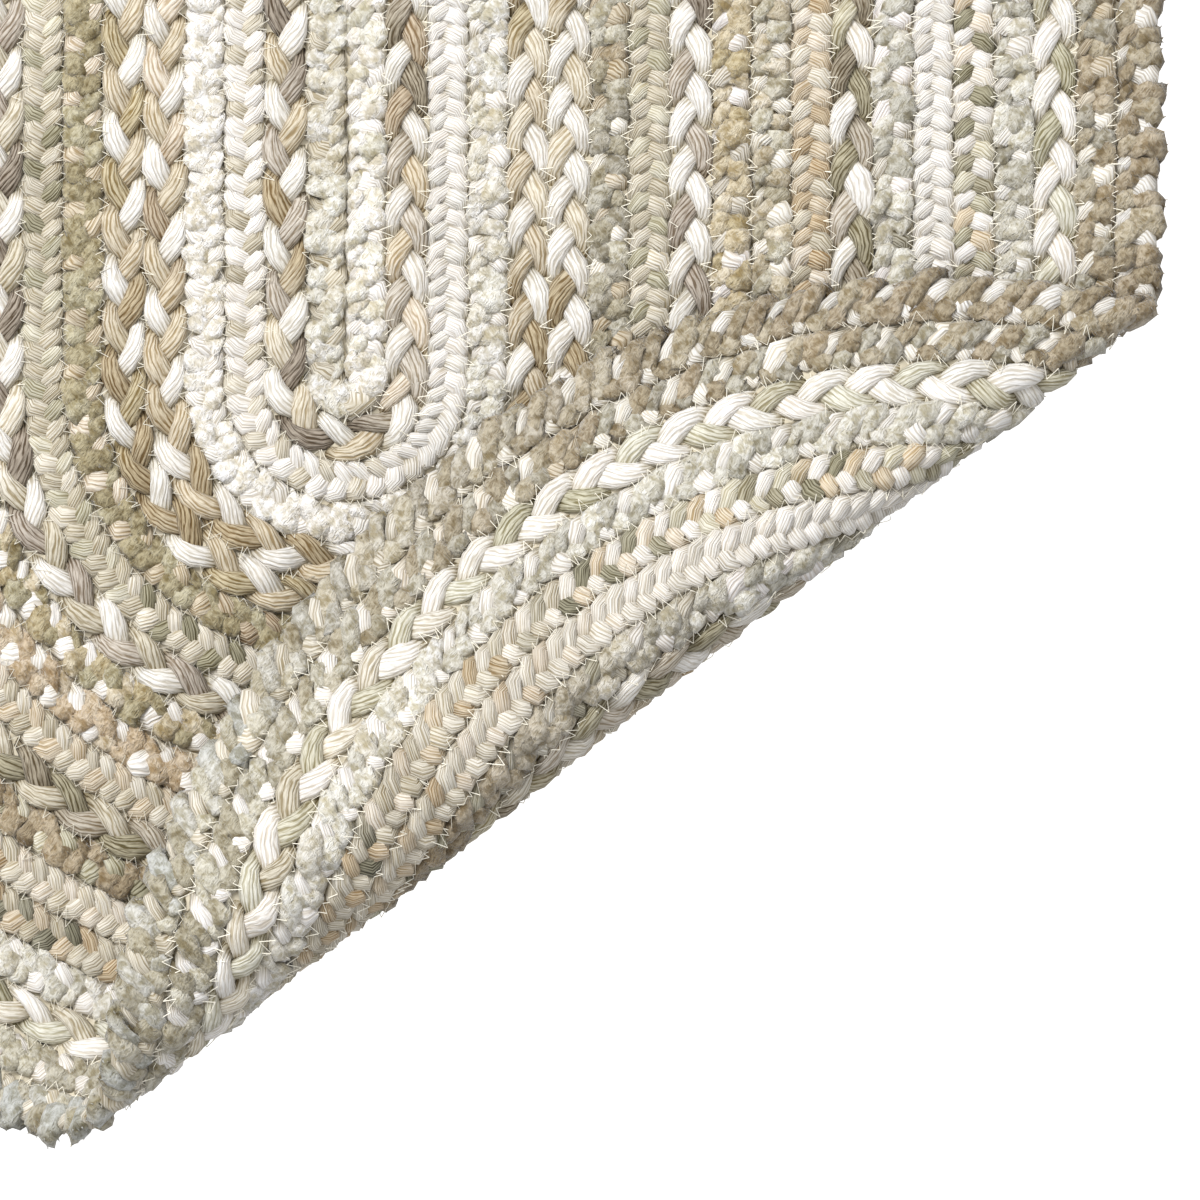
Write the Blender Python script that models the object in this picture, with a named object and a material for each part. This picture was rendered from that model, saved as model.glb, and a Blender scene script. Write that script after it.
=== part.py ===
"""An oval braided rug, 610 by 914 mm, lying flat with one end corner turned over on itself.

Twenty rows of three-strand braid are laid round each other and laced edge to edge. Each row is one
closed ring of braid. The rows are first laid out flat, and then a fold carries every point of them
round the roll of the turned corner, so that a row keeps its length. Metres, +Z up.
"""

import math

import bpy
from mathutils import Vector

# The flat rug
ROW_COUNT = 20
RUG_WIDTH = 0.610
RUG_LENGTH = 0.914
ROW_PITCH = RUG_WIDTH / 2 / ROW_COUNT
SPINE_HALF = (RUG_LENGTH - RUG_WIDTH) / 2  # from the middle to an end's centre
SEAM_GAP = 0.0003  # between two rows

# The three kinds of braid and how thick each lies
BRAID_THICKNESS = {"cable": 0.0110, "chenille": 0.0106, "flat": 0.0098}
MIDDLE_HEIGHT = BRAID_THICKNESS["cable"] / 2

# The rows from the middle outwards: kind of braid, slot of its yarn
ROWS = [
    ("chenille", "chenille_cream"),
    ("cable", "cable_gold_grey"),
    ("flat", "flat_cream"),
    ("chenille", "chenille_cream"),
    ("cable", "cable_gold"),
    ("cable", "cable_gold"),
    ("chenille", "chenille_olive"),
    ("flat", "flat_sage"),
    ("cable", "cable_mauve"),
    ("chenille", "chenille_olive"),
    ("chenille", "chenille_sand"),
    ("flat", "flat_sand"),
    ("cable", "cable_mauve"),
    ("chenille", "chenille_grey"),
    ("flat", "flat_cream"),
    ("flat", "flat_sage"),
    ("chenille", "chenille_grey"),
    ("cable", "cable_sage"),
    ("chenille", "chenille_taupe"),
    ("chenille", "chenille_taupe"),
]

# The yarns: red, green, blue (linear) and roughness
YARNS = {
    "chenille_cream": (0.80, 0.76, 0.66, 0.95),
    "chenille_olive": (0.52, 0.45, 0.29, 0.95),
    "chenille_sand": (0.62, 0.52, 0.37, 0.95),
    "chenille_grey": (0.62, 0.60, 0.52, 0.95),
    "chenille_taupe": (0.45, 0.38, 0.28, 0.95),
    "cable_gold_grey": (0.60, 0.53, 0.40, 0.85),
    "cable_gold": (0.70, 0.62, 0.44, 0.85),
    "cable_mauve": (0.66, 0.60, 0.52, 0.85),
    "cable_sage": (0.70, 0.68, 0.52, 0.85),
    "flat_cream": (0.84, 0.80, 0.71, 0.88),
    "flat_sage": (0.66, 0.62, 0.50, 0.88),
    "flat_sand": (0.72, 0.62, 0.46, 0.88),
}

# A braid's section, seen along the row: share of its width outwards, share of its thickness upwards
SECTION = [(0.5, 0.0), (0.3, 0.5), (-0.3, 0.5), (-0.5, 0.0), (-0.3, -0.5), (0.3, -0.5)]

# Corners along a row. Each step divides the one before, so that a row's corners lie on the next row's.
INNER_ROWS = 5
INNER_STEP = 15.0  # degrees round an end
OUTER_STEP = 7.5
FOLD_STEP = 2.5
FINE_STEP = 0.625
SIDE_STEP = 0.009  # along a straight side where it is folded
FINE_SIDE_STEP = 0.0015
BEND_STEP = math.radians(30)  # a row that crosses a bend has a corner at least this often

# The turned corner
FOLD_TURN = -52.4  # the way across the crease, in degrees from +X
FOLD_REACH = 0.1612  # from the end's centre to the middle of the rug's thickness at the roll's nose
ROLL_WIDEST = 0.0370  # the roll's radius at its wide lower left end, to the middle of the thickness
ROLL_TAPER = 0.080  # how much the radius shrinks along each metre of the crease, towards the right
ROLL_SHOULDER = -0.128  # where along the crease the roll starts to narrow
ROLL_BLEND = 0.060  # over what length it does so
ROLL_TIGHTEST = 0.0070
FLAP_SLOPE = math.radians(17)  # how the flap comes down towards its free edge, at the crease's middle
FLAP_TWIST = 0.085  # the cone turns the flap in its own plane by this much, in radians
QUARTER = math.pi / 2

FOLD_CENTRE = Vector((0.0, -SPINE_HALF, 0.0))
ACROSS = Vector((math.cos(math.radians(FOLD_TURN)), math.sin(math.radians(FOLD_TURN)), 0.0))
ALONG = Vector((-ACROSS.y, ACROSS.x, 0.0))


def roll_radius(along):
    """The roll's radius at a place along the crease. It is a cone, wide at the left, tight at the right."""
    past = along - ROLL_SHOULDER
    narrower = ROLL_TAPER * (past + math.hypot(past, ROLL_BLEND)) / 2
    return max(ROLL_TIGHTEST, ROLL_WIDEST - narrower)


def fold_profile(out, along):
    """Where the fold carries the middle of the thickness: (out, height, heading in radians)."""
    radius = roll_radius(along)
    slope = FLAP_SLOPE * radius / roll_radius(0.0)
    start = FOLD_REACH - radius
    heading = min(max(0.0, (out - start) / radius), math.pi + slope)
    flap = max(0.0, out - start - radius * (math.pi + slope))
    out = min(out, start) + radius * math.sin(heading) - flap * math.cos(slope)
    height = radius * (1 - math.cos(heading)) - flap * math.sin(slope)
    return out, height, heading


def fold(point):
    """The place that a point of the flat rug takes once the corner is turned over."""
    from_centre = point - FOLD_CENTRE
    along = from_centre.dot(ALONG)
    out, height, heading = fold_profile(from_centre.dot(ACROSS), along)
    if heading > QUARTER:
        along -= FLAP_TWIST * (FOLD_REACH - out)
    above = point.z - MIDDLE_HEIGHT
    out -= above * math.sin(heading)
    height += above * math.cos(heading)
    return FOLD_CENTRE + ALONG * along + ACROSS * out + Vector((0, 0, MIDDLE_HEIGHT + height))


def lay(station, radius, height):
    """A point of the flat rug: a station round the oval, and the distance outwards from the spine."""
    spine, turn = station
    angle = math.radians(turn)
    return Vector((radius * math.cos(angle), spine + radius * math.sin(angle), height))


def heading_at(station, radius):
    """How far the fold has turned the rug at a station and radius, in radians."""
    from_centre = lay(station, radius, 0.0) - FOLD_CENTRE
    return fold_profile(from_centre.dot(ACROSS), from_centre.dot(ALONG))[2]


def stations_of(row):
    """(place on the spine, turn in degrees) of each corner of a row, anticlockwise from the right side."""
    step = INNER_STEP if row <= INNER_ROWS else OUTER_STEP
    outside = row * ROW_PITCH
    candidates = []
    for spine, first_turn in ((SPINE_HALF, 0.0), (-SPINE_HALF, 180.0)):
        for k in range(round(180.0 / FINE_STEP) + 1):
            turn = first_turn + k * FINE_STEP
            folded = heading_at((spine, turn), outside) > 0.0
            regular = (turn / (FOLD_STEP if folded else step)).is_integer()
            candidates.append(((spine, turn), regular))
    for k in range(1, int(2 * SPINE_HALF / FINE_SIDE_STEP)):
        station = (-SPINE_HALF + k * FINE_SIDE_STEP, 360.0)
        folded = heading_at(station, outside) > 0.0
        regular = folded and k % round(SIDE_STEP / FINE_SIDE_STEP) == 0
        candidates.append((station, regular))
    kept = []
    last_heading = 0.0
    for station, regular in candidates:
        heading = heading_at(station, outside - ROW_PITCH / 2)
        if regular or abs(heading - last_heading) > BEND_STEP:
            kept.append(station)
            last_heading = heading
    return kept


def yarn_material(slot):
    red, green, blue, roughness = YARNS[slot]
    material = bpy.data.materials.get(slot) or bpy.data.materials.new(slot)
    material.use_nodes = True
    material.diffuse_color = (red, green, blue, 1.0)
    shader = material.node_tree.nodes["Principled BSDF"]
    shader.inputs["Base Color"].default_value = (red, green, blue, 1.0)
    shader.inputs["Roughness"].default_value = roughness
    return material


def braid_row(row, kind, slot, collection):
    """One row of braid: a torus laid round the oval, and then round the fold."""
    stations = stations_of(row)
    bpy.ops.mesh.primitive_torus_add(major_segments=len(stations), minor_segments=len(SECTION))
    braid = bpy.context.object
    braid.name = f"row_{row:02d}_{kind}"
    centre = (row - 0.5) * ROW_PITCH
    width = ROW_PITCH - SEAM_GAP
    thickness = BRAID_THICKNESS[kind]
    for vertex in braid.data.vertices:
        station, corner = divmod(vertex.index, len(SECTION))
        outwards, upwards = SECTION[corner]
        radius = centre + outwards * width
        height = MIDDLE_HEIGHT + upwards * thickness
        vertex.co = fold(lay(stations[station], radius, height))
    braid.data.materials.append(yarn_material(slot))
    for other in braid.users_collection:
        other.objects.unlink(braid)
    collection.objects.link(braid)
    return braid


def stand_on_origin(rows):
    """Moves the rug so that the origin is under the middle of its box."""
    corners = [vertex.co for braid in rows for vertex in braid.data.vertices]
    low = Vector(min(corner[axis] for corner in corners) for axis in range(3))
    high = Vector(max(corner[axis] for corner in corners) for axis in range(3))
    shift = Vector(((low.x + high.x) / 2, (low.y + high.y) / 2, low.z))
    for braid in rows:
        for vertex in braid.data.vertices:
            vertex.co -= shift


def main():
    for old in list(bpy.data.objects):
        bpy.data.objects.remove(old)
    rug = bpy.data.collections.new("braided_rug")
    bpy.context.scene.collection.children.link(rug)
    rows = [braid_row(number, kind, slot, rug) for number, (kind, slot) in enumerate(ROWS, start=1)]
    stand_on_origin(rows)


main()
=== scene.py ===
# %% [markdown]
# # An oval braided rug with one corner turned over
#
# The real rug is made of twenty rows of three-strand braid, laid round each other in an oval and
# laced edge to edge with a thin thread. Cabled, chenille and fine flat braids take turns. This
# lesson braids every strand of every row as a real tube that passes over and under its two
# neighbours. The flat rug is worked out first, and one fold function then turns the corner of
# everything at once, so that each row keeps its length where the rug rolls over.

# %% Load the frame
import math

import bpy
import numpy as np
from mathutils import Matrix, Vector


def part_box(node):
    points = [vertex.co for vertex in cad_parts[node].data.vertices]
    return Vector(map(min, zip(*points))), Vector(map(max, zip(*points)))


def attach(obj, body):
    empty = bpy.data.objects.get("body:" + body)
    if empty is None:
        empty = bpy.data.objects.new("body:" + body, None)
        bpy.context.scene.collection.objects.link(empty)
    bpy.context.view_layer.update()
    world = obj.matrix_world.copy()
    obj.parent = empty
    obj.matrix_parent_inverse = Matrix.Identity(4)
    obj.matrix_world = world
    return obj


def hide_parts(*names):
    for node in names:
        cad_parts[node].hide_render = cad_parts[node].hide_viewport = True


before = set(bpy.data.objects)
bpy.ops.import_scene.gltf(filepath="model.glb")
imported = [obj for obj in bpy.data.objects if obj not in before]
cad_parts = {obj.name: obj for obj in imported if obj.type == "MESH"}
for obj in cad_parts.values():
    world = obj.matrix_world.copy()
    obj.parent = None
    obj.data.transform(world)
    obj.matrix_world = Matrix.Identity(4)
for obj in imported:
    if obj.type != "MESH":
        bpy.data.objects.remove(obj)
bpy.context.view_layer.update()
bpy.ops.object.select_all(action="DESELECT")
scene = bpy.context.scene

# %% [markdown]
# ## The sizes of the rug
#
# These are the sizes that the rug was drawn with. The oval is two half circles joined by two
# straight sides, and the spine is the straight line between the centres of its two ends. The first
# row's box says where the middle of the oval lies in the frame.

# %% Sizes in metres
MM = 0.001
ROW_COUNT = 20
RUG_WIDTH = 610 * MM
RUG_LENGTH = 914 * MM
ROW_PITCH = RUG_WIDTH / 2 / ROW_COUNT
SPINE = RUG_LENGTH - RUG_WIDTH
MIDDLE_HEIGHT = 5.5 * MM

low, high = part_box("row_01_chenille")
OVAL_X = (low.x + high.x) / 2
OVAL_Y = (low.y + high.y) / 2
print("row pitch", round(ROW_PITCH / MM, 2), "mm; the oval's middle:", round(OVAL_X, 4),
      round(OVAL_Y, 4))


# %% [markdown]
# ## Laying a row round the oval
#
# A place on a row is told by how far it is along the row, how far outwards from the row's own
# middle line, and how high above the middle of the rug. This function turns the first two into x
# and y, for whole arrays of points at once, which is what makes a million faces quick.

# %% Round the oval
def lap(radius):
    """The length of a row once round, whose middle line runs at a radius round the spine's ends."""
    return 2 * SPINE + 2 * math.pi * radius


def lay(radius, along, outwards):
    """x and y of places so far along such a row, and so far outwards from its middle line."""
    half_turn = math.pi * radius
    along = along % lap(radius)
    first_turn = np.clip(along - SPINE, 0, half_turn)
    second_turn = np.clip(along - 2 * SPINE - half_turn, 0, None)
    turn = (first_turn + second_turn) / radius
    right_side = np.clip(along, 0, SPINE)
    left_side = np.clip(along - SPINE - half_turn, 0, SPINE)
    reach = radius + outwards
    return reach * np.cos(turn), right_side - left_side - SPINE / 2 + reach * np.sin(turn)


print("the outermost row is", round(lap((ROW_COUNT - 0.5) * ROW_PITCH), 3), "m long")

# %% [markdown]
# ## Turning the corner over
#
# A thick rug doesn't crease. It rolls over, and the roll is a cone: wide at the lower left, where
# the flap stands well off the rug, and tight at the right, where the corner is pinched. The flap
# slopes down towards its free edge, and the cone turns it a little in its own plane. Measured
# across the crease, a point keeps its distance along the cloth, so the fold is only a matter of
# spending that distance: first on the roll, then on the flap. Where a lobe of the underside would
# sink into the floor, the rug's weight presses it flat.

# %% The fold
FOLD_TURN = math.radians(-52.4)  # the way across the crease, from +X
FOLD_REACH = 161.2 * MM  # from the end's centre to the roll's nose
ROLL_WIDEST = 37 * MM
ROLL_TAPER = 0.080  # how much the radius shrinks along the crease
ROLL_SHOULDER = -128 * MM  # where along the crease it starts to, and over what length
ROLL_BLEND = 60 * MM
ROLL_TIGHTEST = 7 * MM
FLAP_SLOPE = math.radians(17)
FLAP_TWIST = 0.085
FLOOR_PRESS = 0.1  # the share of its depth under the floor that a pressed point keeps
QUARTER = math.pi / 2


def roll_radius(crease):
    """The roll's radius at places along the crease."""
    past = crease - ROLL_SHOULDER
    narrower = ROLL_TAPER * (past + np.hypot(past, ROLL_BLEND)) / 2
    return np.maximum(ROLL_TIGHTEST, ROLL_WIDEST - narrower)


def fold(x, y, up):
    """Where the turned corner carries the points of the flat rug, as an array of (x, y, z)."""
    y = y + SPINE / 2
    out = x * math.cos(FOLD_TURN) + y * math.sin(FOLD_TURN)
    crease = y * math.cos(FOLD_TURN) - x * math.sin(FOLD_TURN)
    radius = roll_radius(crease)
    slope = FLAP_SLOPE * radius / roll_radius(0.0)
    start = FOLD_REACH - radius
    heading = np.clip((out - start) / radius, 0, math.pi + slope)
    flap = np.clip(out - start - radius * (math.pi + slope), 0, None)
    out = np.minimum(out, start) + radius * np.sin(heading) - flap * np.cos(slope)
    height = radius * (1 - np.cos(heading)) - flap * np.sin(slope)
    crease = crease - np.where(heading > QUARTER, FLAP_TWIST * (FOLD_REACH - out), 0)
    out = out - up * np.sin(heading)
    height = height + up * np.cos(heading) + MIDDLE_HEIGHT
    height = np.where(height < 0, FLOOR_PRESS * height, height)
    x = out * math.cos(FOLD_TURN) - crease * math.sin(FOLD_TURN)
    y = out * math.sin(FOLD_TURN) + crease * math.cos(FOLD_TURN) - SPINE / 2
    return np.stack([x + OVAL_X, y + OVAL_Y, height], axis=-1)


radius_13 = 12.5 * ROW_PITCH
crossing = lap(radius_13) + FOLD_TURN * radius_13  # where row 13 runs along the crease
print("row 13 is on the roll at", fold(*lay(radius_13, crossing, 0.0), 0.0).round(3).tolist())

# %% [markdown]
# ## Yarns and their dyes
#
# The yarns are space-dyed: one strand changes its colour every few centimetres, from white through
# cream to beige, sage or taupe. Each yarn here is a short list of dye colours, which were matched
# to the photograph row by row. They are written as sRGB hex values, and one function turns them
# into the linear values that Blender's shaders work with.

# %% Dye colours
def linear(hex_colour):
    """An sRGB hex colour as linear red, green and blue."""
    channels = np.array([int(hex_colour[k:k + 2], 16) for k in (1, 3, 5)]) / 255
    return np.where(channels <= 0.04045, channels / 12.92, ((channels + 0.055) / 1.055) ** 2.4)


# name: (finish, length of one colour in mm, colours)
YARNS = {
    "white": ("spun", 60, ["#EDEBE7", "#E9E6E1", "#F0EEEB"]),
    "cream": ("spun", 40, ["#F4F2EF", "#F1EEEA", "#F7F5F3"]),
    "gold": ("spun", 50, ["#D6CCB8", "#BCAD90", "#E0D9CA"]),
    "gold beige": ("spun", 50, ["#D7CCB7", "#C2B39C", "#E4DBCD"]),
    "taupe": ("spun", 50, ["#D2CBC0", "#A99F8C", "#C9C1B3"]),
    "beige": ("spun", 45, ["#C5B99B", "#B3A384", "#D4CAB7"]),
    "mauve": ("spun", 45, ["#BCB2A6", "#CDC5BA", "#A4998B"]),
    "olive": ("spun", 45, ["#C8C0A9", "#DAD5C1", "#ADA68E"]),
    "sage": ("spun", 24, ["#ACA78F", "#E2DECF", "#CBC7B3"]),
    "pale sage": ("spun", 45, ["#D1CDBB", "#E0DED2", "#C2BEA8"]),
    "tan": ("spun", 28, ["#D1C1A6", "#DFD4C1", "#EAE3D8"]),
    "peach": ("spun", 24, ["#E4D8C3", "#EEE7DC", "#F4F0E9", "#B9B39D"]),
    "oat": ("spun", 30, ["#DDD7C9", "#E8E3D8", "#D3CCBB"]),
    "grey sage": ("spun", 18, ["#ADA997", "#D4CEC0", "#908C78", "#E0DBD0"]),
    "fleck": ("spun", 16, ["#F4F1F0", "#DCD7CD", "#B1AC9C", "#F4F1F0"]),
    "mixed": ("spun", 21, ["#F0EDE6", "#D0C5B0", "#F3F0EA", "#DDD5C6"]),
    "cream pile": ("chenille", 14, ["#ECEAE7", "#E9E7E0", "#E6E2D8"]),
    "white pile": ("chenille", 14, ["#F9F7F6", "#F5F2EE"]),
    "tan pile": ("chenille", 13, ["#AE9E83", "#BFB097", "#A19279"]),
    "flecked pile": ("chenille", 13, ["#F8F6F0", "#F4F1E9", "#E2DFD3"]),
    "grey beige pile": ("chenille", 13, ["#C9C4B5", "#D8D4C6", "#BBB4A0"]),
    "olive pile": ("chenille", 13, ["#B6AC8E", "#C2BBA1", "#A99E7F"]),
    "gold pile": ("chenille", 13, ["#D3C7AD", "#DFD5C1", "#C6B999"]),
    "sand pile": ("chenille", 13, ["#D6CDBA", "#E1D9C9", "#CBC1AC"]),
    "peach pile": ("chenille", 13, ["#D8C8B1", "#DED2BE", "#CDBBA1"]),
    "sage pile": ("chenille", 13, ["#D8D5CB", "#E4E1D9", "#ECEAE3"]),
    "grey pile": ("chenille", 13, ["#CFCCC2", "#DBD8CE", "#C4C1B6"]),
    "taupe pile": ("chenille", 13, ["#BBAE98", "#AFA28A", "#C4BAA5"]),
    "stone pile": ("chenille", 13, ["#BAB5A8", "#C8C4B7", "#C3B69F"]),
    "blue pile": ("chenille", 13, ["#D2D1CB", "#C9CAC6", "#DAD8D1"]),
}

# Each row from the middle outwards: its braid, its three strands on the rug's right side, and its
# three strands on the left side. Some left-side sets, such as row 15's, are darker in part as
# painted shade, for where the raised flap shades the rug.
ROWS = [
    ("chenille", ("flecked pile", "white pile", "cream"), ("cream pile", "cream pile", "oat")),
    ("cable", ("taupe", "white", "gold beige"), ("mauve", "white", "gold")),
    ("flat", ("cream", "cream", "white"), ("cream", "cream", "oat")),
    ("chenille", ("cream pile", "cream pile", "cream"), ("white pile", "white pile", "cream")),
    ("cable", ("white", "gold", "beige"), ("white", "gold", "gold beige")),
    ("cable", ("white", "gold", "white"), ("white", "gold", "beige")),
    ("chenille", ("grey beige pile", "stone pile", "mixed"),
     ("olive pile", "olive pile", "gold beige")),
    ("flat", ("oat", "sage", "oat"), ("oat", "sage", "oat")),
    ("cable", ("white", "mauve", "white"), ("white", "mauve", "oat")),
    ("chenille", ("gold pile", "gold pile", "fleck"), ("olive pile", "gold pile", "cream")),
    ("chenille", ("sand pile", "grey beige pile", "mixed"), ("peach pile", "peach pile", "cream")),
    ("flat", ("oat", "tan", "tan"), ("oat", "oat", "tan")),
    ("cable", ("white", "olive", "taupe"), ("oat", "olive", "taupe")),
    ("chenille", ("sage pile", "grey pile", "fleck"), ("tan pile", "tan pile", "sage")),
    ("flat", ("cream", "white", "cream"), ("oat", "oat", "tan")),
    ("flat", ("cream", "peach", "sage"), ("oat", "tan", "grey sage")),
    ("chenille", ("grey pile", "sage pile", "white"), ("cream pile", "sage pile", "cream")),
    ("cable", ("white", "pale sage", "cream"), ("cream", "pale sage", "oat")),
    ("chenille", ("stone pile", "taupe pile", "mixed"),
     ("grey beige pile", "grey beige pile", "cream")),
    ("chenille", ("taupe pile", "taupe pile", "white"), ("blue pile", "grey beige pile", "oat")),
]
print(len(YARNS), "yarns for", len(ROWS), "rows")

# %% [markdown]
# ## The three braids
#
# The cabled braid is long and loose, of thick strands whose separate ends stand out as ridges. The
# flat braid is short and tight. The chenille braid is as tight, but two of its strands are fat and
# lumpy with pile, and only the third is plain spun yarn. Neighbouring rows press each other
# straight along the seam, so a strand that swings out too far is squeezed back softly. At the rug's
# outer edge nothing presses, and the pile stands out.

# %% The braids' sizes, in mm where they are lengths
# period: one strand's full swing; swing and dive: how far it moves to the side and down; dwell:
# how long it stays at the edges; skew: how far the braid's outer side runs ahead of its inner side;
# wide and thick: half the strand's width and thickness; ends: threads round the strand; steps:
# faces along a period; round: faces about the strand; lumps and uneven: how its outside varies;
# shade: how deep its yarn starts to get painted shade; lean: how far inwards the tips of its V
# shapes lie
BRAIDS = {
    "cable": dict(period=54, swing=6.2, dwell=0.4, skew=0.1, dive=2.4, wide=4.5, thick=2.9,
                  ends=17, steps=14, round=12, lumps=0.05, uneven=0.09, shade=0.52, lean=0.0),
    "flat": dict(period=20.6, swing=6.2, dwell=0.3, skew=0.2, dive=2.1, wide=3.8, thick=2.8,
                 ends=22, steps=10, round=8, lumps=0.05, uneven=0.08, shade=0.58, lean=0.08),
    "plain": dict(period=20.6, swing=5.6, dwell=0.3, skew=0.32, dive=2.1, wide=3.8, thick=2.7,
                  ends=20, steps=9, round=7, lumps=0.16, uneven=0.26, shade=0.48, lean=0.2),
    "chenille": dict(period=20.6, swing=5.2, dwell=0.4, skew=0.32, dive=2.1, wide=4.4, thick=3.3,
                     ends=20, steps=12, round=10, lumps=0.24, uneven=0.18, shade=0.48, lean=0.2),
}
SQUEEZE = 0.61 * ROW_PITCH  # half a row, and the little by which the pile of two rows mingles
LOOSE_EDGE = 0.95 * ROW_PITCH  # half the outermost row, which nothing squeezes
LOOSE = (3.2, 1.4, -0.4)  # how many mm further out each strand of the outermost row swings
for name, braid in BRAIDS.items():
    print(name, "is about", round(2 * (braid["dive"] + braid["thick"]), 1), "mm thick")


# %% [markdown]
# ## One strand of a braid
#
# In a flat braid of three, each strand swings from edge to edge and dives under the others on its
# way. Seen from above it draws a sine wave, and seen from the side it goes up and down twice as
# often. The three strands do the same, a third of a swing apart. That one rule gives the plaited
# look on both faces, so the turned corner shows a true underside. Handwork is never even, so the
# strand's width and its swing wander a little by a smooth seeded random line.

# %% The middle line of a strand
PLUMPNESS = (0.97, 0.07)  # its width where it turns, and how much more it has where it lies on top
WANDER = 0.25 * MM  # how far its swing strays to a side
LOOSE_WANDER = 0.35  # by what share the outermost row's loose swing varies
STAYING = 0.35  # how much longer than a sine wave it stays over and under


def wander(count, spread, rng):
    """A smooth random line of values that closes on itself: a new one every `spread` places."""
    knots = rng.normal(size=max(4, round(count / spread)))
    place = np.arange(count) * len(knots) / count
    before = place.astype(int)
    share = place - before
    share = share * share * (3 - 2 * share)
    return knots[before] * (1 - share) + knots[(before + 1) % len(knots)] * share


def closing(count):
    """The numbers of a closed line's places, which ends on the one that it starts from."""
    return np.append(np.arange(count), 0)


def middle_line(braid, row, third, rng):
    """Places along one of a row's three strands: along, side, up, both slopes, phase and width."""
    length = lap((row - 0.5) * ROW_PITCH)
    swings = round(length / (braid["period"] * MM))
    steps = braid["steps"]
    count = swings * steps
    closed = closing(count)
    along = np.arange(count + 1) / count * length
    phase = np.arange(count + 1) / steps * 2 * math.pi + third * 2 * math.pi / 3 + row
    pace = 2 * math.pi * swings / length
    fat = 1 + braid["uneven"] * wander(count, steps / 4, rng)[closed]
    fat = fat * (PLUMPNESS[0] + PLUMPNESS[1] * np.sin(2 * phase) ** 2)

    swing, dwell = braid["swing"] * MM, braid["dwell"]
    held = np.tanh(dwell * np.sin(phase))  # it stays at the braid's edges a while
    side = swing * held / math.tanh(dwell) + WANDER * wander(count, steps, rng)[closed]
    slope_side = swing * pace * np.cos(phase) * dwell * (1 - held ** 2) / math.tanh(dwell)
    if row == ROW_COUNT:
        loose = LOOSE[third] * MM * (1 + LOOSE_WANDER * wander(count, steps, rng)[closed])
        side = side + loose * np.clip(np.sin(phase), 0, 1) ** 2

    dive, lean = braid["dive"] * MM, braid["lean"]
    over = 2 * np.cos(phase) * (np.sin(phase) + lean)
    over_rate = 2 * (np.cos(2 * phase) - lean * np.sin(phase))
    up = -dive * over * (1 + STAYING - STAYING * over ** 2)
    slope_up = -dive * pace * over_rate * (1 + STAYING - 3 * STAYING * over ** 2)
    return along, side, up, slope_side, slope_up, phase, fat


line = middle_line(BRAIDS["cable"], 2, 0, np.random.default_rng(0))
print("a cabled strand of row 2 swings", (line[1].min() / MM).round(1), "to",
      (line[1].max() / MM).round(1), "mm")


# %% [markdown]
# ## Round the middle line
#
# The strand's section is a full oval that stays square to the middle line. At the braid's edges it
# stands a little on its side, as a strand does where it turns back. Pile makes the section lumpy.
# The last lines squeeze the strand softly into its row's width, and let the braid's outer side run
# ahead, which slants its V shapes.

# %% The section of a strand
FULLNESS = 0.8  # below 1, the section is fuller than an ellipse
ON_ITS_SIDE = 0.1  # how much narrower and thicker a strand gets at the braid's edges
BIGGEST_LUMP = 1.5  # in standard deviations
SEAM_WAVER = 0.07  # how much the squeezed width varies
SQUEEZE_POWER = 6  # the higher, the harder the seam


def strand(braid, row, third, rng):
    """A strand of the flat rug: its points, its places along the row, and how deep its points lie.

    The points (along, outwards, up) are an array of places along the strand by places around it.
    """
    along, side, up, slope_side, slope_up, phase, fat = middle_line(braid, row, third, rng)
    count = len(along) - 1
    closed = closing(count)
    edge = np.sin(phase) ** 4
    wide = braid["wide"] * MM * fat * (1 - ON_ITS_SIDE * edge)
    thick = braid["thick"] * MM * fat * (1 + ON_ITS_SIDE * edge)
    around = np.arange(braid["round"] + 1) / braid["round"] * 2 * math.pi
    wide = wide[:, None] * np.sign(np.cos(around)) * np.abs(np.cos(around)) ** FULLNESS
    thick = thick[:, None] * np.sign(np.sin(around)) * np.abs(np.sin(around)) ** FULLNESS
    lumps = rng.normal(size=(count, braid["round"]))
    lumps = (np.roll(lumps, 1, axis=0) + 2 * lumps + np.roll(lumps, -1, axis=0)) / math.sqrt(6)
    lumps = 1 + braid["lumps"] * np.clip(lumps, -BIGGEST_LUMP, BIGGEST_LUMP)
    lumps = lumps[closed][:, closing(braid["round"])]
    wide, thick = wide * lumps, thick * lumps

    level = np.hypot(1, slope_side)
    steep = np.hypot(level, slope_up)
    forward = along[:, None] - wide * (slope_side / level)[:, None]
    forward = forward - thick * (slope_up / level / steep)[:, None]
    outwards = side[:, None] + wide * (1 / level)[:, None]
    outwards = outwards - thick * (slope_up * slope_side / level / steep)[:, None]
    above = up[:, None] + thick * (level / steep)[:, None]

    limit = np.where((outwards > 0) & (row == ROW_COUNT), LOOSE_EDGE, SQUEEZE)
    limit = limit * (1 + SEAM_WAVER * wander(count, braid["steps"] / 3, rng)[closed])[:, None]
    squeezed = (1 + np.abs(outwards / limit) ** SQUEEZE_POWER) ** (1 / SQUEEZE_POWER)
    outwards = outwards / squeezed
    forward = forward + braid["skew"] * outwards
    depth = 1 - np.clip(np.abs(above) / (braid["dive"] + braid["thick"]) / MM, 0, 1)
    return np.stack([forward, outwards, above], axis=-1), along, depth


def laid(row, flat):
    """Points of the folded rug, for an array of a row's flat points (along, outwards, up)."""
    x, y = lay((row - 0.5) * ROW_PITCH, flat[..., 0], flat[..., 1])
    return fold(x, y, flat[..., 2])


flat, _, _ = strand(BRAIDS["cable"], 2, 0, np.random.default_rng(0))
print("it has", flat.shape[0] - 1, "places along it and", flat.shape[1] - 1, "around it")


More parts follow.
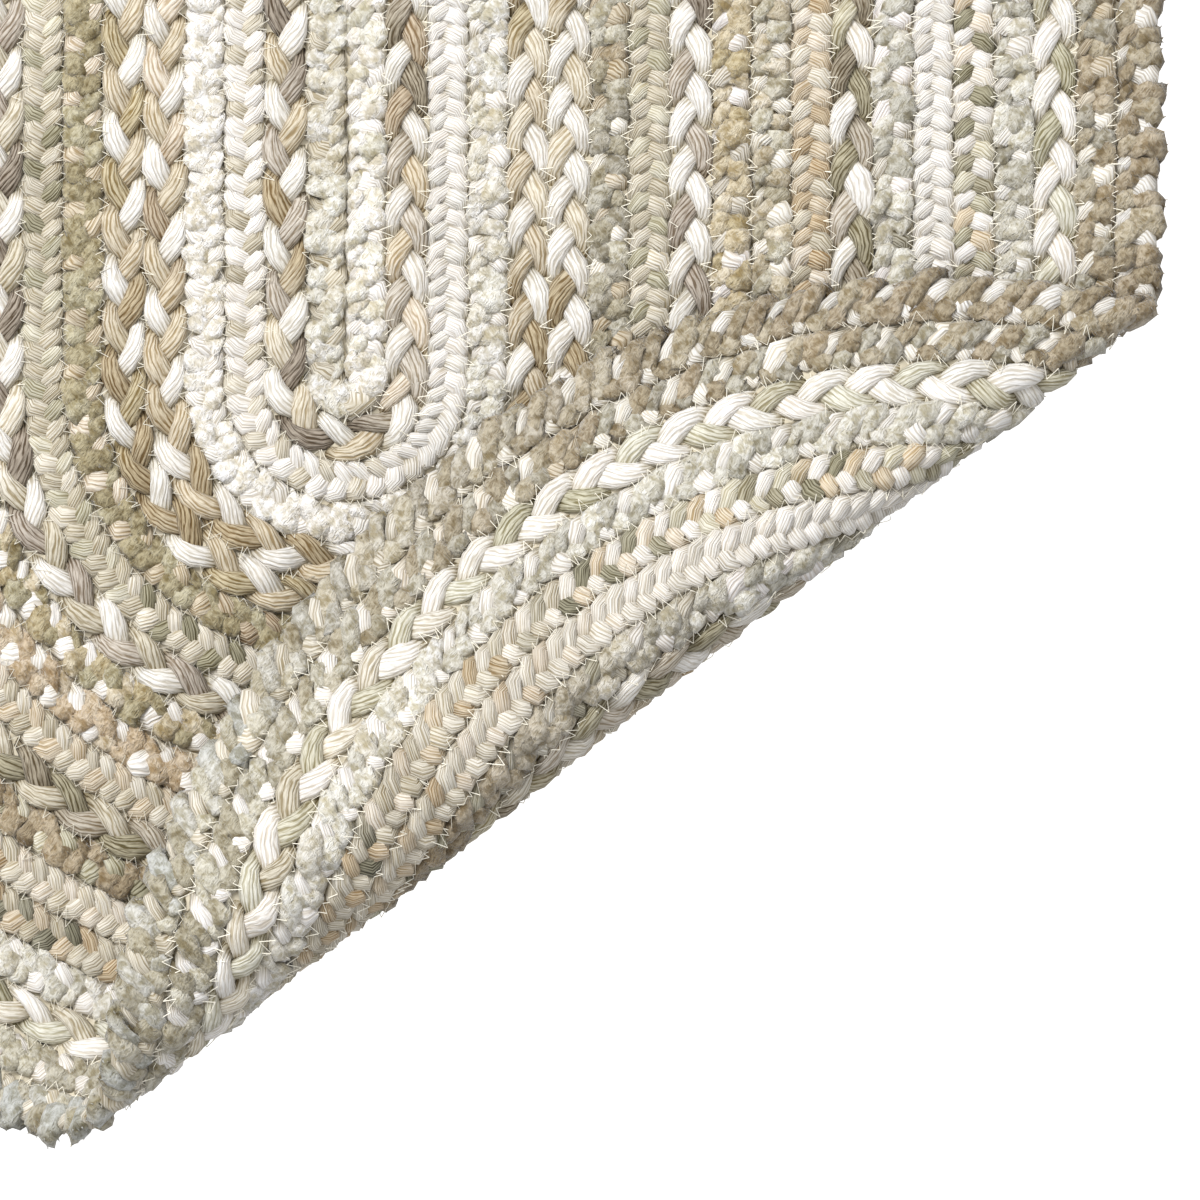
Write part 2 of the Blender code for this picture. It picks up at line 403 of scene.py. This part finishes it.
# %% [markdown]
# ## From points to a closed tube
#
# A strand starts as Blender's grid, whose long side runs along the strand and whose short side is
# wrapped round it. The grid comes with a UV map. Stretched so that it counts the strand's ends one
# way and metres the other, it makes the ends run along the strand wherever it goes. Merging by
# distance closes the tube along its side and joins its end to its start.

# %% Tubes
SAME_PLACE = 0.001 * MM  # points of a seam that are closer than this are merged


def tube(name, points, size_uv):
    """A closed tube through an array of points, with its UV map scaled to (round, along)."""
    rows, columns = points.shape[0] - 1, points.shape[1] - 1
    bpy.ops.mesh.primitive_grid_add(x_subdivisions=columns, y_subdivisions=rows, size=1)
    piece = bpy.context.object
    piece.name = name
    mesh = piece.data
    mesh.vertices.foreach_set("co", points.astype(np.float32).ravel())
    uv = np.empty(len(mesh.loops) * 2, np.float32)
    mesh.uv_layers[0].data.foreach_get("uv", uv)
    uv = uv.reshape(-1, 2) * np.array(size_uv, np.float32)
    mesh.uv_layers[0].data.foreach_set("uv", uv.ravel())
    mesh.uv_layers[0].name = "UVMap"
    return piece


def dye_and_painted_shade(piece, colours):
    """Writes one colour for each point of the piece, its yarn's colour with any painted shade,
    which its material then reads.
    """
    layer = piece.data.color_attributes.new("dye_and_painted_shade", "FLOAT_COLOR", "POINT")
    full = np.concatenate([colours, np.ones((len(colours), 1))], axis=1)
    layer.data.foreach_set("color", full.astype(np.float32).ravel())


def close_seams(distance):
    """Merges the points of the active piece that meet, and turns every face outwards."""
    bpy.ops.object.mode_set(mode="EDIT")
    bpy.ops.mesh.select_all(action="SELECT")
    bpy.ops.mesh.remove_doubles(threshold=distance)
    bpy.ops.mesh.normals_make_consistent(inside=False)
    bpy.ops.object.mode_set(mode="OBJECT")


def join_and_close(name, pieces):
    """Joins the pieces into one, closes the seams of their tubes and shades it smooth."""
    bpy.ops.object.select_all(action="DESELECT")
    for piece in pieces:
        piece.select_set(True)
    bpy.context.view_layer.objects.active = pieces[0]
    bpy.ops.object.join()
    whole = bpy.context.object
    whole.name = name
    whole.data.name = name
    close_seams(SAME_PLACE)
    bpy.ops.object.shade_smooth()
    bpy.ops.object.select_all(action="DESELECT")
    return whole


print("seams are merged within", SAME_PLACE / MM, "mm")


# %% [markdown]
# ## The dye along a strand
#
# The dye changes every few centimetres, with a short soft passage between two colours. A row also
# drifts slowly from one set of yarns on its right side to another on its left, because the maker
# sewed new strips on as the old ones ran out; some left-side sets are also darker as painted
# shade, for where the raised flap shades the rug. Deep between the strands, painted shade makes
# the yarn warmer and darker, as the light that gets there has already been through wool.

# %% Colours of one strand
PASSAGE = 0.3  # the share of a colour's length over which it turns into the next
UNEVEN_DYE = 0.03
CHANGE_PLACE = 0.6  # where the yarns change, as a share of the row's radius to the right
CHANGE_PACE = 2.2
CHANGE_WAVER = 0.2  # by how much that place comes and goes along the row, and over what length
CHANGE_LENGTH = 70 * MM
# Painted shade deep between the strands: how it darkens and warms the yarn's colour
PAINTED_SHADE_GAMMA = 1.4
PAINTED_SHADE_TINT = "#C2B898"
PAINTED_SHADE_BLEND = 0.4  # over what share of the braid's half thickness yarn turns dark


def dyed(yarn, along, length, rng):
    """The yarn's colours at places along it, as linear red, green and blue."""
    _, run, colours = YARNS[yarn]
    palette = np.array([linear(colour) for colour in colours])
    runs = max(4, round(length / (run * MM)))
    picks = rng.integers(len(palette), size=runs)
    place = (along / length * runs) % runs
    before = place.astype(int) % runs
    share = np.clip((place - place.astype(int) - (1 - PASSAGE)) / PASSAGE, 0, 1)[:, None]
    colour = palette[picks[before]] * (1 - share) + palette[picks[(before + 1) % runs]] * share
    return colour * (1 + UNEVEN_DYE * rng.normal(size=(len(along), 1)))


def strand_dye(right, left, radius, along, rng):
    """Blends the right side's yarn into the left side's, by where on the oval the strand is."""
    length = lap(radius)
    x, _ = lay(radius, along, 0.0)
    waver = CHANGE_WAVER * np.sin(along / CHANGE_LENGTH)
    share = np.clip(0.5 + CHANGE_PACE * (CHANGE_PLACE - x / radius) + waver, 0, 1)[:, None]
    return dyed(right, along, length, rng) * (1 - share) + dyed(left, along, length, rng) * share


def with_painted_shade(colours, depth, shade):
    """One colour for each point: the strand's, with painted shade that warms and darkens it by
    depth between strands.
    """
    share = np.clip((depth - shade) / PAINTED_SHADE_BLEND, 0, 1)[:, :, None]
    painted_shade_colour = colours ** PAINTED_SHADE_GAMMA * linear(PAINTED_SHADE_TINT)
    return (colours[:, None, :] * (1 - share) + painted_shade_colour[:, None, :] * share).reshape(-1, 3)


# White yarn under full painted shade, as an example
white_in_painted_shade = with_painted_shade(linear("#FFFFFF")[None, :], np.array([[1.0]]), 0.5)
print("white yarn deep in a braid is", white_in_painted_shade.round(2).tolist(), "in linear values")


# %% [markdown]
# ## A node in one call
#
# A material in Blender is a tree of nodes. One small function adds a node, sets it and links it,
# and another starts a material on Blender's Principled shader, from what the real surface is.

# %% Helpers for materials
FIBRE_GLOSS = 0.25  # the specular level of dull fibres, half of that of smooth plastic


def node(tree, kind, settings=(), inputs=(), links=()):
    """Adds a node, gives it its settings and input values, and links its inputs."""
    made = tree.nodes.new(kind)
    for name, value in dict(settings).items():
        setattr(made, name, value)
    for name, value in dict(inputs).items():
        made.inputs[name].default_value = value
    for name, socket in dict(links).items():
        tree.links.new(socket, made.inputs[name])
    return made


def new_material(name, colour, roughness, sheen=0.0):
    """A matt fibre with its base colour, roughness and sheen. Gives it, its tree and its shader."""
    material = bpy.data.materials.new(name)
    material.use_nodes = True
    shader = material.node_tree.nodes["Principled BSDF"]
    shader.inputs["Base Color"].default_value = (*linear(colour), 1)
    shader.inputs["Roughness"].default_value = roughness
    shader.inputs["Specular IOR Level"].default_value = FIBRE_GLOSS
    shader.inputs["Sheen Weight"].default_value = sheen
    shader.inputs["Sheen Roughness"].default_value = 0.5
    shader.inputs["Sheen Tint"].default_value = (1, 1, 1, 1)
    return material, material.node_tree, shader


print("each material of fibres starts with a specular level of", FIBRE_GLOSS)

# %% [markdown]
# ## Spun yarn
#
# Cotton and wool, spun and plied. It is matt. Its ends lie side by side with a slight twist, so
# that their ridges catch the light, and the groove between two of them is thin, and painted shade
# makes it warm and dark. The UV map counts ends round the strand, so the absolute value of a sine
# wave over it gives a ridge for each end. Noise that is stretched along the yarn then breaks the
# ridges up. Single fibres are too fine to show, so it draws streaks some tenths of an end wide.

# %% Spun cotton and wool
TWIST = 0.16  # how many ends the twist moves on in each millimetre
RIDGE_WAVER = 2.2  # how many ends the ridges stray from their line
STREAK_RELIEF = 2.2  # how high the streaks stand, compared with the ridges
RIDGE_HEIGHT = 0.24 * MM
spun, tree, shader = new_material("spun_cotton_wool", "#EFEBE0", 0.85, 0.15)
uv = node(tree, "ShaderNodeUVMap", {"uv_map": "UVMap"})  # ends round the strand, metres along it
split = node(tree, "ShaderNodeSeparateXYZ", links={0: uv.outputs[0]})
along_mm = node(tree, "ShaderNodeMath", {"operation": "MULTIPLY"},
                {1: 1 / MM}, {0: split.outputs[1]})
twisted = node(tree, "ShaderNodeMath", {"operation": "MULTIPLY_ADD"},
               {1: TWIST}, {0: along_mm.outputs[0], 2: split.outputs[0]})
joined = node(tree, "ShaderNodeCombineXYZ",
              links={0: twisted.outputs[0], 1: along_mm.outputs[0]})


def streaks(ends, length, detail):
    """Noise along the yarn, with features that are some ends wide and some millimetres long."""
    stretched = node(tree, "ShaderNodeMapping", inputs={"Scale": (1 / ends, 1 / length, 1)},
                     links={"Vector": joined.outputs[0]})
    noise = node(tree, "ShaderNodeTexNoise", {"noise_dimensions": "2D"},
                 {"Scale": 1, "Detail": detail, "Roughness": 0.6},
                 {"Vector": stretched.outputs[0]})
    return noise.outputs[0]


shifted = node(tree, "ShaderNodeMath", {"operation": "MULTIPLY_ADD"},
               {1: RIDGE_WAVER}, {0: streaks(2.5, 13, 2), 2: twisted.outputs[0]})
half_waves = node(tree, "ShaderNodeMath", {"operation": "MULTIPLY"},
                  {1: math.pi}, {0: shifted.outputs[0]})
wave = node(tree, "ShaderNodeMath", {"operation": "SINE"}, links={0: half_waves.outputs[0]})
ridge = node(tree, "ShaderNodeMath", {"operation": "ABSOLUTE"}, links={0: wave.outputs[0]})
height = node(tree, "ShaderNodeMath", {"operation": "MULTIPLY_ADD"},
              {1: STREAK_RELIEF}, {0: streaks(0.55, 5, 3), 2: ridge.outputs[0]})
bump = node(tree, "ShaderNodeBump", inputs={"Strength": 0.9, "Distance": RIDGE_HEIGHT},
            links={"Height": height.outputs[0]})
tree.links.new(bump.outputs[0], shader.inputs["Normal"])

# The yarn's dye shows on the ridges. In the grooves it gets painted shade: deeper and warmer.
lit = node(tree, "ShaderNodeMapRange", inputs={"From Min": 1.24, "From Max": 1.94},
           links={"Value": height.outputs[0]})
fibres = node(tree, "ShaderNodeMapRange",
              inputs={"From Min": 0.36, "From Max": 0.56, "To Min": 0.55},
              links={"Value": streaks(0.3, 3.5, 2)})
shown = node(tree, "ShaderNodeMath", {"operation": "MULTIPLY"},
             links={0: lit.outputs[0], 1: fibres.outputs[0]})
dyes = node(tree, "ShaderNodeAttribute", {"attribute_name": "dye_and_painted_shade"})
# Painted shade for the grooves: the yarn's colour made deeper and warmer
painted_shade_base = node(tree, "ShaderNodeGamma", inputs={"Gamma": 2.4}, links={"Color": dyes.outputs["Color"]})
painted_shade_colour = node(tree, "ShaderNodeMix", {"data_type": "RGBA", "blend_type": "MULTIPLY"},
            {"Factor": 1.0, "B": (*linear("#E8E4DC"), 1)}, {"A": painted_shade_base.outputs[0]})
yarn_colour = node(tree, "ShaderNodeMix", {"data_type": "RGBA"},
                   links={"Factor": shown.outputs[0], "A": painted_shade_colour.outputs["Result"],
                          "B": dyes.outputs["Color"]})
tree.links.new(yarn_colour.outputs["Result"], shader.inputs["Base Color"])
print(spun.name, "has", len(tree.nodes), "nodes")

# %% [markdown]
# ## Chenille
#
# A cut pile about 3 mm long, twisted into a core. It scatters light at its edges, which is what
# sheen is for. Its fibres lie in tufts some millimetres wide, each brushed its own way, and it
# parts here and there, where painted shade makes a warm dark crevice. Single fibres are too fine
# to show, so they are drawn as locks half a millimetre thick.

# %% Chenille pile
LOCK = (0.55 * MM, 2.6 * MM, 2.6 * MM)  # a lock's thickness, and its length
LOCK_ANGLES = (40, -35)  # in degrees
TUFT = 4.5 * MM
WISP = 2.6 * MM
PILE_RELIEF = 1.1 * MM
CURL, CURL_SIZE = 2 * MM, 3.5 * MM  # how far the pattern is bent, and over what distance
chenille, tree, shader = new_material("chenille_pile", "#E8E2D2", 1.0, 0.5)
shader.inputs["Sheen Roughness"].default_value = 0.4
coordinates = node(tree, "ShaderNodeTexCoord")
curl = node(tree, "ShaderNodeTexNoise", inputs={"Scale": 1 / CURL_SIZE, "Detail": 1},
            links={"Vector": coordinates.outputs["Object"]})
bent = node(tree, "ShaderNodeVectorMath", {"operation": "MULTIPLY_ADD"}, {1: (CURL, CURL, CURL)},
            {0: curl.outputs["Color"], 2: coordinates.outputs["Object"]})


def brushed(degrees):
    """Noise drawn out into locks of fibres that lie at an angle."""
    turned = node(tree, "ShaderNodeMapping", {"vector_type": "TEXTURE"},
                  {"Rotation": (0, 0, math.radians(degrees)), "Scale": LOCK},
                  {"Vector": bent.outputs[0]})
    noise = node(tree, "ShaderNodeTexNoise", inputs={"Scale": 1, "Detail": 2, "Roughness": 0.6},
                 links={"Vector": turned.outputs[0]})
    return noise.outputs[0]


tufts = node(tree, "ShaderNodeTexNoise", inputs={"Scale": 1 / TUFT, "Detail": 3},
             links={"Vector": bent.outputs[0]})
tuft = node(tree, "ShaderNodeMapRange", inputs={"From Min": 0.47, "From Max": 0.53},
            links={"Value": tufts.outputs[0]})
fibres = node(tree, "ShaderNodeMix", {"data_type": "FLOAT"},
              links={"Factor": tuft.outputs[0], "A": brushed(LOCK_ANGLES[0]),
                     "B": brushed(LOCK_ANGLES[1])})
wisps = node(tree, "ShaderNodeTexNoise", inputs={"Scale": 1 / WISP, "Detail": 3},
             links={"Vector": bent.outputs[0]})
height = node(tree, "ShaderNodeMath", {"operation": "ADD"},
              links={0: fibres.outputs[0], 1: wisps.outputs[0]})
bump = node(tree, "ShaderNodeBump", inputs={"Strength": 1.0, "Distance": PILE_RELIEF},
            links={"Height": height.outputs[0]})
tree.links.new(bump.outputs[0], shader.inputs["Normal"])

# The dye shows on the locks that stand up. Between them, and where the pile parts, it gets
# painted shade and is deeper.
lit = node(tree, "ShaderNodeMapRange",
           inputs={"From Min": 0.7, "From Max": 1.12, "To Min": 0.1},
           links={"Value": height.outputs[0]})
# Painted shade where the pile parts
painted_parting_shade = node(tree, "ShaderNodeMapRange",
               inputs={"From Min": 0.34, "From Max": 0.5, "To Min": 0.2},
               links={"Value": tufts.outputs[0]})
shown = node(tree, "ShaderNodeMath", {"operation": "MULTIPLY"},
             links={0: lit.outputs[0], 1: painted_parting_shade.outputs[0]})
dyes = node(tree, "ShaderNodeAttribute", {"attribute_name": "dye_and_painted_shade"})
# Painted shade between the locks: the yarn's colour made deeper and warmer
painted_shade_base = node(tree, "ShaderNodeGamma", inputs={"Gamma": 1.8}, links={"Color": dyes.outputs["Color"]})
painted_shade_colour = node(tree, "ShaderNodeMix", {"data_type": "RGBA", "blend_type": "MULTIPLY"},
            {"Factor": 1.0, "B": (*linear("#D3CCB5"), 1)}, {"A": painted_shade_base.outputs[0]})
pile_colour = node(tree, "ShaderNodeMix", {"data_type": "RGBA"},
                   links={"Factor": shown.outputs[0], "A": painted_shade_colour.outputs["Result"],
                          "B": dyes.outputs["Color"]})
tree.links.new(pile_colour.outputs["Result"], shader.inputs["Base Color"])
print(chenille.name, "has", len(tree.nodes), "nodes")

# %% [markdown]
# ## The thread and the hidden fibres
#
# The rows are laced with a waxed polyester thread about 0.4 mm thick. It is off-white and smoother
# than the yarns. The fibres in the middle of the braids only show as a warm tone in the small gaps
# between strands. Both are too thin or too deep to show a pattern, so they have none.

# %% Lacing thread and inner fibre
lacing_thread, _, _ = new_material("lacing_polyester", "#F6F1E2", 0.6)
inner_fibre, _, _ = new_material("inner_fibre", "#D2C9B4", 0.95)
FINISH = {"spun": spun, "chenille": chenille}
print("also", lacing_thread.name, "and", inner_fibre.name)


# %% [markdown]
# ## Tips of the pile
#
# The cut ends of the pile stick out of the chenille strands, most of all along the rug's free edge.
# Modelled as single hairs they would need millions of faces, so each tip is a blunt three-sided
# cone of four triangles. The cone is modelled once, and an array copies it.

# %% Tips of the pile
EDGE_TIPS = 2600  # on each pile strand of the outermost row, along its free side
TIPS_PER_METRE = 250  # on the other pile strands
FREE_SIDE = 0.42 * ROW_PITCH  # tips of the outermost row are further outwards than this
VISIBLE_FACE = 2.6 * MM  # other tips are further up or down than this
TIP_SPREAD = 2.0 * MM  # how much the tips' directions vary, compared with the strand's radius
TIP_ROOT = 0.5 * MM  # how deep a tip is rooted
TIP_SIZE, TIP_SIZES = 0.35 * MM, (0.5, 1.4)  # the radius of its foot, and how that varies
TIP_REACH, TIP_REACHES = 1.0 * MM, (0.3, 1.6)


def unit(vectors):
    """The vectors at a length of one."""
    return vectors / np.linalg.norm(vectors, axis=1)[:, None]


def pile_tips(row, flat, colours, count, rng):
    """Small blunt cones that stand out of a strand's visible sides, as the ends of the pile do."""
    bpy.ops.mesh.primitive_cone_add(vertices=3, radius1=TIP_SIZE, depth=TIP_REACH)
    tips = bpy.context.object
    array = tips.modifiers.new("copies", "ARRAY")
    array.count = count
    bpy.ops.object.modifier_apply(modifier="copies")
    if row == ROW_COUNT:
        places, rounds = np.nonzero(flat[:, :, 1] > FREE_SIDE)
    else:
        places, rounds = np.nonzero(np.abs(flat[:, :, 2]) > VISIBLE_FACE)
    chosen = rng.integers(len(places), size=count)
    places, rounds = places[chosen], rounds[chosen]
    base = flat[places, rounds]
    core = flat[places].mean(axis=1)
    forth = unit(base - core + TIP_SPREAD * rng.normal(size=base.shape))
    across = unit(np.cross(forth, rng.normal(size=base.shape)))
    third_way = np.cross(forth, across)
    size = (TIP_SIZE * rng.uniform(*TIP_SIZES, size=count))[:, None]
    reach = (TIP_REACH * rng.uniform(*TIP_REACHES, size=count))[:, None]
    corners = []
    for turn in (0, 2 * math.pi / 3, 4 * math.pi / 3):
        foot = across * math.cos(turn) + third_way * math.sin(turn)
        corners.append(base + size * foot - TIP_ROOT * forth)
    corners.append(base + reach * forth)
    points = laid(row, np.stack(corners, axis=1))
    tips.data.vertices.foreach_set("co", points.astype(np.float32).ravel())
    dye_and_painted_shade(tips, np.repeat(colours[places], 4, axis=0))
    return tips


print("tips stand out by up to", round(TIP_REACH * TIP_REACHES[1] / MM, 1), "mm")

# %% [markdown]
# ## Braiding the twenty rows
#
# Every row gets its three strands, each with its own yarn, and the joined row takes the place of
# its plain CAD solid. Nothing presses on the outermost row, so one of its strands swings further
# out than the others. Each row has random numbers of its own, so a change to one leaves the rest.

# %% Braid the rows
BRAID_SEED = 100
for row, (kind, right, left) in enumerate(ROWS, start=1):
    rng = np.random.default_rng(BRAID_SEED + row)
    radius = (row - 0.5) * ROW_PITCH
    strands = []
    for third in range(3):
        finish = YARNS[right[third]][0]
        braid = BRAIDS["plain" if kind == "chenille" and finish == "spun" else kind]
        flat, along, depth = strand(braid, row, third, rng)
        piece = tube("strand", laid(row, flat), (braid["ends"], lap(radius)))
        colours = strand_dye(right[third], left[third], radius, along, rng)
        # The points get the yarn's colour and, deep between strands, painted shade
        dye_and_painted_shade(piece, with_painted_shade(colours, depth, braid["shade"]))
        piece.data.materials.append(FINISH[finish])
        strands.append(piece)
        if finish == "chenille":
            count = EDGE_TIPS if row == ROW_COUNT else round(TIPS_PER_METRE * lap(radius))
            tips = pile_tips(row, flat, colours, count, rng)
            tips.data.materials.append(chenille)
            strands.append(tips)
    node_name = f"row_{row:02d}_{kind}"
    whole = join_and_close(f"braid_{row:02d}_{kind}", strands)
    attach(whole, "root")
    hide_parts(node_name)
    whole.data.calc_loop_triangles()
    print(whole.name, len(whole.data.loop_triangles), "triangles")

# %% [markdown]
# ## The lacing
#
# A thin thread holds each row to the next. It zigzags over the seam on both faces of the rug.
# Between its stitches it sinks into the yarn, so only its slanting runs show. It is a tube like the
# strands, but with only three sides, because there are thousands of stitches.

# %% Lace the rows together
STITCH = 4.5 * MM  # two runs of the zigzag
STITCH_WAVER = 1.2 * MM
STITCH_SIDE, SIDE_WAVER = 1.9, 1.0  # how many mm it reaches to each side of the seam
STITCH_HEIGHT, HEIGHT_WAVER = 3.9, 0.9  # how many mm it lies above the middle of the rug
THREAD = 0.18 * MM  # half the thread's thickness
THREAD_SIDES = 3
THREAD_AROUND = 1.5 * MM  # the way round it, in its UV map
LACING_SEED = 7


def lacing(row, face, rng):
    """The points of a seam's zigzag thread, on the upper (1) or lower (-1) face, and its length."""
    radius = row * ROW_PITCH
    length = lap(radius)
    count = 2 * round(length / STITCH)
    closed = closing(count)
    along = np.arange(count + 1) / count * length
    along = along + (STITCH_WAVER * rng.normal(size=count))[closed]
    side = np.where(np.arange(count + 1) % 2 == 0, 1, -1)
    side = side * (STITCH_SIDE + SIDE_WAVER * rng.normal(size=count)[closed]) * MM
    up = face * (STITCH_HEIGHT + HEIGHT_WAVER * rng.normal(size=count)[closed]) * MM
    around = np.arange(THREAD_SIDES + 1) / THREAD_SIDES * 2 * math.pi
    forward = along[:, None] + THREAD * np.cos(around)
    above = up[:, None] + THREAD * np.sin(around)
    x, y = lay(radius, forward, side[:, None] + 0 * around)
    return fold(x, y, above), length


for face, name in ((1, "lacing_upper"), (-1, "lacing_under")):
    rng = np.random.default_rng(LACING_SEED + face)
    seams = []
    for row in range(1, ROW_COUNT):
        points, length = lacing(row, face, rng)
        seam = tube("seam", points, (THREAD_AROUND, length))
        seam.data.materials.append(lacing_thread)
        seams.append(seam)
    whole = join_and_close(name, seams)
    whole.data.shade_flat()  # a thin thread that turns sharply has no smooth corners
    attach(whole, "root")
    whole.data.calc_loop_triangles()
    print(whole.name, len(whole.data.loop_triangles), "triangles")

# %% [markdown]
# ## The hidden middle
#
# The strands' inner fibres fill the braids, so that no light comes through the rug. A thin sheet in
# the middle of its thickness does that here. It is laid out ring by ring, and Solidify gives it its
# thickness.

# %% The sheet in the middle of the braids
WEB_THICKNESS = 1.5 * MM
WEB_EDGE = 3 * MM  # how far it ends inside the rug's outline
WEB_RINGS, FIRST_RING = 21, 8 * MM
SIDE_STEPS, TURN_STEPS = 11, 60  # faces along a straight side, and round an end
MIDDLE_RING = 0.01 * MM  # the spine itself, as a ring so narrow that merging closes it

radii = np.append(MIDDLE_RING, np.linspace(FIRST_RING, RUG_WIDTH / 2 - WEB_EDGE, WEB_RINGS))
sides = np.linspace(0, SPINE, SIDE_STEPS + 1)[:-1]
turns = np.linspace(0, 1, TURN_STEPS + 1)[:-1]
points = []
for radius in radii:
    half_turn = math.pi * radius
    along = np.concatenate([sides, SPINE + half_turn * turns, SPINE + half_turn + sides,
                            2 * SPINE + half_turn + half_turn * turns, [0]])
    x, y = lay(radius, along, 0.0)
    points.append(fold(x, y, 0.0 * x))
middle = tube("inner_fibre_web", np.array(points), (RUG_WIDTH, lap(RUG_WIDTH / 2)))
middle.data.materials.append(inner_fibre)
close_seams(5 * MIDDLE_RING)
thickness = middle.modifiers.new("thickness", "SOLIDIFY")
thickness.thickness = WEB_THICKNESS
thickness.offset = 0
bpy.ops.object.modifier_apply(modifier="thickness")
bpy.ops.object.shade_smooth()
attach(middle, "root")
middle.data.calc_loop_triangles()
print(middle.name, len(middle.data.loop_triangles), "triangles")

# %% [markdown]
# ## Floor, light and camera
#
# The rug was photographed from straight above, on white, under very even light. A white floor, a
# bright even sky and one large soft lamp from the upper left give that. The floor glows a little,
# so that it stays white under the rug's soft shadow. The camera hangs high, so that the raised flap
# isn't drawn larger than the rest.

# %% Floor
FLOOR_SIZE = 40  # metres, so that its edge doesn't show in low views
FLOOR_GAP = 0.5 * MM  # the lowest lobes reach nearly this far below the solids
bpy.ops.mesh.primitive_plane_add(size=FLOOR_SIZE, location=(0, 0, -FLOOR_GAP))
floor = bpy.context.object
floor.name = "floor"
floor_paint, _, shader = new_material("white_floor", "#F5F5F5", 0.9)
shader.inputs["Emission Color"].default_value = (1, 1, 1, 1)
shader.inputs["Emission Strength"].default_value = 0.8
floor.data.materials.append(floor_paint)
floor.visible_diffuse = False  # so that it doesn't light the roll from below
print("floor:", FLOOR_SIZE, "m square")

# %% Light
world = bpy.data.worlds.new("even_sky")
world.use_nodes = True
tree = world.node_tree
direction = node(tree, "ShaderNodeTexCoord")
split = node(tree, "ShaderNodeSeparateXYZ", links={0: direction.outputs["Generated"]})
overhead = node(tree, "ShaderNodeMapRange",
                inputs={"From Min": -0.1, "From Max": 0.9, "To Min": 0.37, "To Max": 0.88},
                links={"Value": split.outputs[2]})
background = tree.nodes["Background"]
background.inputs["Color"].default_value = (1, 1, 1, 1)
tree.links.new(overhead.outputs[0], background.inputs["Strength"])
scene.world = world
bpy.ops.object.light_add(type="AREA", location=(-1.2, 1.3, 2.2))
lamp = bpy.context.object
lamp.name = "soft_lamp"
lamp.data.energy = 80
lamp.data.size = 1.2
lamp.rotation_euler = (math.radians(-32), math.radians(-28), 0)
scene.view_settings.view_transform = "Standard"
print("lamp:", lamp.data.energy, "W,", round(lamp.data.size, 2), "m wide")

# %% Camera
PICTURE_SPAN = 451.6 * MM  # the photograph's width on the rug
PICTURE_X = OVAL_X + 95.6 * MM  # its middle, from the oval's middle and from its lower end's centre
PICTURE_Y = OVAL_Y - SPINE / 2 - 82.8 * MM
CAMERA_HEIGHT = 2.0
SPAN_HEIGHT = 10 * MM  # the height of the rug's top, where the span is measured
SENSOR = 36  # mm
bpy.ops.object.camera_add(location=(PICTURE_X, PICTURE_Y, CAMERA_HEIGHT), rotation=(0, 0, 0))
camera = bpy.context.object
camera.name = "camera_above"
camera.data.sensor_width = SENSOR
camera.data.lens = SENSOR * (CAMERA_HEIGHT - SPAN_HEIGHT) / PICTURE_SPAN
camera.data.clip_start = 0.05
scene.camera = camera
print("lens:", round(camera.data.lens, 1), "mm")
